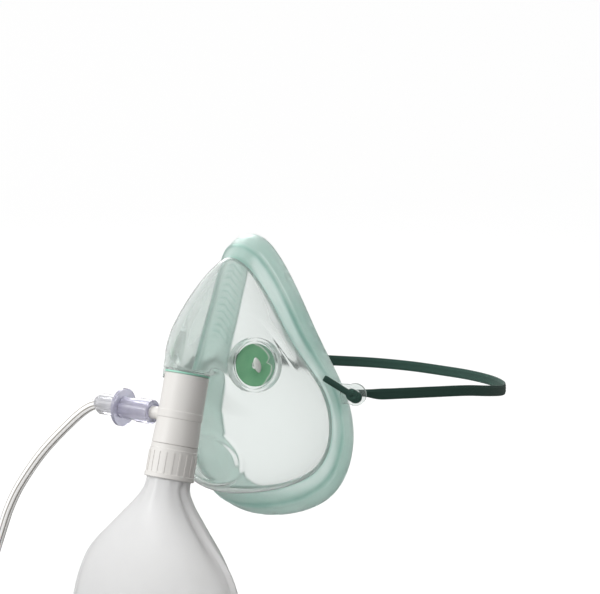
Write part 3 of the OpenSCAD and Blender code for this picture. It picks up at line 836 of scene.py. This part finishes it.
def make_strap_end(name, side):
    """The elastic through the lug, an overhand knot in front of it and its stiff free tail."""
    through_lug = np.array([LUG_AT + LUG_FORWARD * f for f in np.linspace(*LUG_STUB, 9)])
    wrap = np.array([KNOT_AT + ELASTIC_R * (math.sin(KNOT_TURNS * 2 * math.pi * f) * LUG_SIDEWAYS
                                            + math.cos(KNOT_TURNS * 2 * math.pi * f) * WORLD_UP
                                            + (f * 2 - 1) * unit(TAIL_RUN)) for f in np.linspace(0, 1, 90)])
    tail = np.array([KNOT_AT + TAIL_RUN * f for f in np.linspace(0.05, 1, 24)])
    tail_r = np.full(len(tail), ELASTIC_R)
    tail_r[-1] = TAIL_TIP_R
    across_ring = np.cos(angles_round(END_SIDES))
    verts, faces, along, across = [], [], [], []
    count = 0
    for line, radius, flatten in ((through_lug, ELASTIC_R, 1.0), (wrap, WRAP_R, 1.0),
                                  (tail, tail_r, TAIL_FLATTEN)):
        part_verts, part_faces = sweep(line, radius, END_SIDES, (0.1, 0.2, 1.0), flatten)
        verts.append(part_verts * mirror(side))
        faces += [tuple(count + i for i in (f if side > 0 else reversed(f))) for f in part_faces]
        along.append(np.repeat(arc_length(line), END_SIDES))
        across.append(np.tile(across_ring, len(line)))
        count += len(part_verts)
    piece = new_mesh(name, np.concatenate(verts), faces)
    point_attribute(piece, "along", np.concatenate(along))
    point_attribute(piece, "across", np.concatenate(across))
    return piece


for word, side in (("left", 1), ("right", -1)):
    end = make_strap_end("strap_knot_" + word, side)
    dress(end, "elastic_green")
    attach(end, "mask")
    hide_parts("strap_end_" + word)

# ---------------------------------------------------------------- reservoir bag
BAG_LEN, BAG_HALF_W, BAG_HALF_T = 0.226, 0.056, 0.021
BAG_SIDES, BAG_RINGS, BAG_HELD_RINGS = 144, 130, 12
BAG_WELD = 0.0025
# down the bag: the fraction of its length, of its half width and of its half thickness
BAG_SHAPE = np.array([(0, 0.19, 0.5), (0.02, 0.2, 0.53), (0.045, 0.26, 0.6), (0.08, 0.39, 0.69),
                      (0.15, 0.65, 0.83), (0.24, 0.85, 0.95), (0.34, 0.97, 1), (0.5, 1, 1), (0.68, 1, 1),
                      (0.82, 0.97, 0.86), (0.92, 0.93, 0.55), (0.975, 0.9, 0.2), (1, 0.88, 0.05)])
# one deep pleat on the wearer's left side, between fractions of the length, and slight ones all round
PLEAT_AT, PLEAT_WIDTH, PLEAT_DEPTH = math.radians(12), 0.2, 0.16
PLEAT_START, PLEAT_END = (0.0, 0.02), (0.06, 0.2)
SLIGHT_PLEAT, SLIGHT_END = 0.012, (0.0, 0.13)
WELD_START = (0.08, 0.2)
# the film's settling: its steps, the furthest that a point moves, and how far below the collar it sets in
SETTLE_STEPS, SETTLE_MOST, SETTLE_BELOW = 18, 0.004, (0.035, 0.09)


def bag_axis(f):
    """The bag's middle line: it leaves the collar along the port's tilt, then hangs straight down."""
    lean = PORT_TILT * (1 - f) ** 2
    return BAG_TOP + f * BAG_LEN * np.array([0, -math.sin(lean), -math.cos(lean)])


def smooth_lookup(table, x):
    """Values of a table's columns at x, on curves that run smoothly through its rows."""
    at = table[:, 0]
    slope = np.gradient(table[:, 1:], at, axis=0)
    k = int(np.clip(np.searchsorted(at, x) - 1, 0, len(at) - 2))
    gap = at[k + 1] - at[k]
    f = min(1, max(0, (x - at[k]) / gap))
    return ((1 + 2 * f) * (1 - f) ** 2 * table[k, 1:] + f * (1 - f) ** 2 * gap * slope[k]
            + f * f * (3 - 2 * f) * table[k + 1, 1:] + f * f * (f - 1) * gap * slope[k + 1])


def make_bag():
    """Two film panels, blown up between their welded edges and gathered into pleats at the neck."""
    q = angles_round(BAG_SIDES)
    x, y = np.cos(q), np.sin(q)
    weld = BAG_WELD * np.sign(x) * smooth_step(np.abs(x), 0.996, 1.0)
    turn = (q + math.pi) % (2 * math.pi) - math.pi
    deep = hump(turn, PLEAT_AT, PLEAT_WIDTH)
    slight = np.cos(13 * q + 0.9 * np.sin(3 * q))
    rows = []
    for k in range(BAG_RINGS + 1):
        f = (k / BAG_RINGS) ** 1.15
        w, t = smooth_lookup(BAG_SHAPE, f) * [BAG_HALF_W, BAG_HALF_T]
        ahead = bag_axis(f + 0.004) - bag_axis(f - 0.004)
        thick = unit(np.cross(ahead, SIDE))
        pleats = 1 + SLIGHT_PLEAT * slight * (1 - smooth_step(f, *SLIGHT_END))
        pleats = pleats - PLEAT_DEPTH * deep * smooth_step(f, *PLEAT_START) * (1 - smooth_step(f, *PLEAT_END))
        # round at the neck, and lens shaped from a fifth of the way down
        lens = 1 - 0.25 * min(1, f * 5) * (1 - np.abs(y))
        rows.append(bag_axis(f) + (x * w * pleats + weld * smooth_step(f, *WELD_START))[:, None] * SIDE
                    + (y * lens * t * pleats)[:, None] * thick)
    faces = grid_faces(BAG_RINGS + 1, BAG_SIDES)
    faces.append([BAG_RINGS * BAG_SIDES + i for i in range(BAG_SIDES)])
    bag = new_mesh("reservoir_bag_film", np.array(rows).reshape(-1, 3), faces)
    held = bag.vertex_groups.new(name="held")
    for ring in range(BAG_HELD_RINGS):
        held.add(list(range(ring * BAG_SIDES, (ring + 1) * BAG_SIDES)),
                 1 - smooth_step(ring, 3, BAG_HELD_RINGS), "REPLACE")
    return bag


def settle_bag(bag):
    """Lets the film wrinkle a little under its own fullness, held by the neck."""
    start = np.array([v.co for v in bag.data.vertices])
    cloth = bag.modifiers.new("cloth", "CLOTH")
    film = cloth.settings
    film.quality = 6
    film.mass = 0.02
    film.tension_stiffness = film.compression_stiffness = 25
    film.shear_stiffness = 12
    film.bending_stiffness = 0.02
    film.shrink_min = -0.03
    film.use_pressure = True
    film.uniform_pressure_force = 0.6
    film.vertex_group_mass = "held"
    film.effector_weights.gravity = 0.3
    cloth.collision_settings.use_collision = False
    scene = bpy.context.scene
    for step in range(1, SETTLE_STEPS + 1):
        scene.frame_set(step)
    settled = bag.evaluated_get(bpy.context.evaluated_depsgraph_get())
    shift = np.array([v.co for v in settled.data.vertices]) - start
    bag.modifiers.clear()
    scene.frame_set(1)
    size = np.linalg.norm(shift, axis=1, keepdims=True)
    shift = shift * np.minimum(1, SETTLE_MOST / np.maximum(size, 1e-9))
    below = (start - BAG_TOP) @ -UP
    shift = shift * smooth_step(below, *SETTLE_BELOW)[:, None]
    bag.data.vertices.foreach_set("co", (start + shift).astype(np.float32).ravel())
    bag.data.update()


bag = make_bag()
settle_bag(bag)
dress(bag, "bag_film")
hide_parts("reservoir_bag")
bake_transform(bag)

# ---------------------------------------------------------------- the oxygen tube's finish and body
dress(tube, "tube_clear")
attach(tube, "line")
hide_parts("oxygen_tube", "tube_coil")

# ---------------------------------------------------------------- floor, backdrop and light
FLOOR_BELOW = 0.012
INNER_RING, FLOOR_R, WALL_R, WALL_TOP = 1.0, 3.6, 5.0, 6.0
FLOOR_SIDES = 96
AT_MASK = (0, -0.03, 0)


def make_stage():
    """A plain pale studio: a round floor that curves up into its wall, the same from every side."""
    floor_z = cad_box[0].z - FLOOR_BELOW
    bend = WALL_R - FLOOR_R
    profile = [(INNER_RING, 0.0), (FLOOR_R, 0.0)]
    profile += [(FLOOR_R + bend * math.sin(a), bend - bend * math.cos(a))
                for a in np.linspace(0.1, math.pi / 2, 16)]
    profile += [(WALL_R, WALL_TOP)]
    verts = [(r * math.cos(q), r * math.sin(q), floor_z + high)
             for r, high in profile for q in angles_round(FLOOR_SIDES)]
    floor = new_mesh("floor", verts,
                     grid_faces(len(profile), FLOOR_SIDES, flip=True) + [list(range(FLOOR_SIDES))])
    mat, tree = material("floor_paint", (0.14, 0.14, 0.14), 0.7, Emission_Color=(1, 1, 1, 1),
                         Emission_Strength=0.84)
    bump(tree, noise(tree, 300, 2), 0.02, 0.0002)
    paint(floor, mat)
    # its glow is for the camera alone, so that the lamps and the room shape the object
    floor.visible_diffuse = False
    floor.visible_glossy = False


def area_light(name, at, aim, size, power):
    light = bpy.data.objects.new(name, bpy.data.lights.new(name, "AREA"))
    bpy.context.scene.collection.objects.link(light)
    light.data.shape = "RECTANGLE"
    light.data.size, light.data.size_y = size
    light.data.energy = power
    light.location = at
    light.rotation_mode = "QUATERNION"
    light.rotation_quaternion = (Vector(aim) - Vector(at)).to_track_quat("-Z", "Y")


def make_world():
    """Soft room light that comes mostly from the front, the wearer's right and above."""
    world = bpy.data.worlds.new("world")
    bpy.context.scene.world = world
    world.use_nodes = True
    tree = world.node_tree
    where = tree.nodes.new("ShaderNodeTexCoord")
    side = tree.nodes.new("ShaderNodeVectorMath")
    side.operation = "DOT_PRODUCT"
    side.inputs[1].default_value = Vector((-0.45, -0.6, 0.66)).normalized()
    tree.links.new(where.outputs["Generated"], side.inputs[0])
    facing = calc(tree, "MULTIPLY_ADD", side.outputs["Value"], 0.5, 0.5)
    shade = ramp(tree, facing, (0.0, (0.20, 0.19, 0.185)), (0.4, (0.28, 0.275, 0.27)),
                 (0.7, (0.84, 0.84, 0.84)), (1.0, (1.55, 1.55, 1.55)))
    tree.links.new(shade, tree.nodes["Background"].inputs["Color"])
    tree.nodes["Background"].inputs["Strength"].default_value = 0.9


make_stage()
area_light("key", (-0.75, -1.3, 0.9), AT_MASK, (0.7, 0.7), 9)
area_light("fill", (1.5, -0.9, 0.4), AT_MASK, (0.9, 0.9), 0.7)
area_light("rim", (-0.9, 0.9, 0.8), (0, 0, 0), (0.5, 1.0), 8)
make_world()
bpy.context.scene.view_settings.view_transform = "Standard"
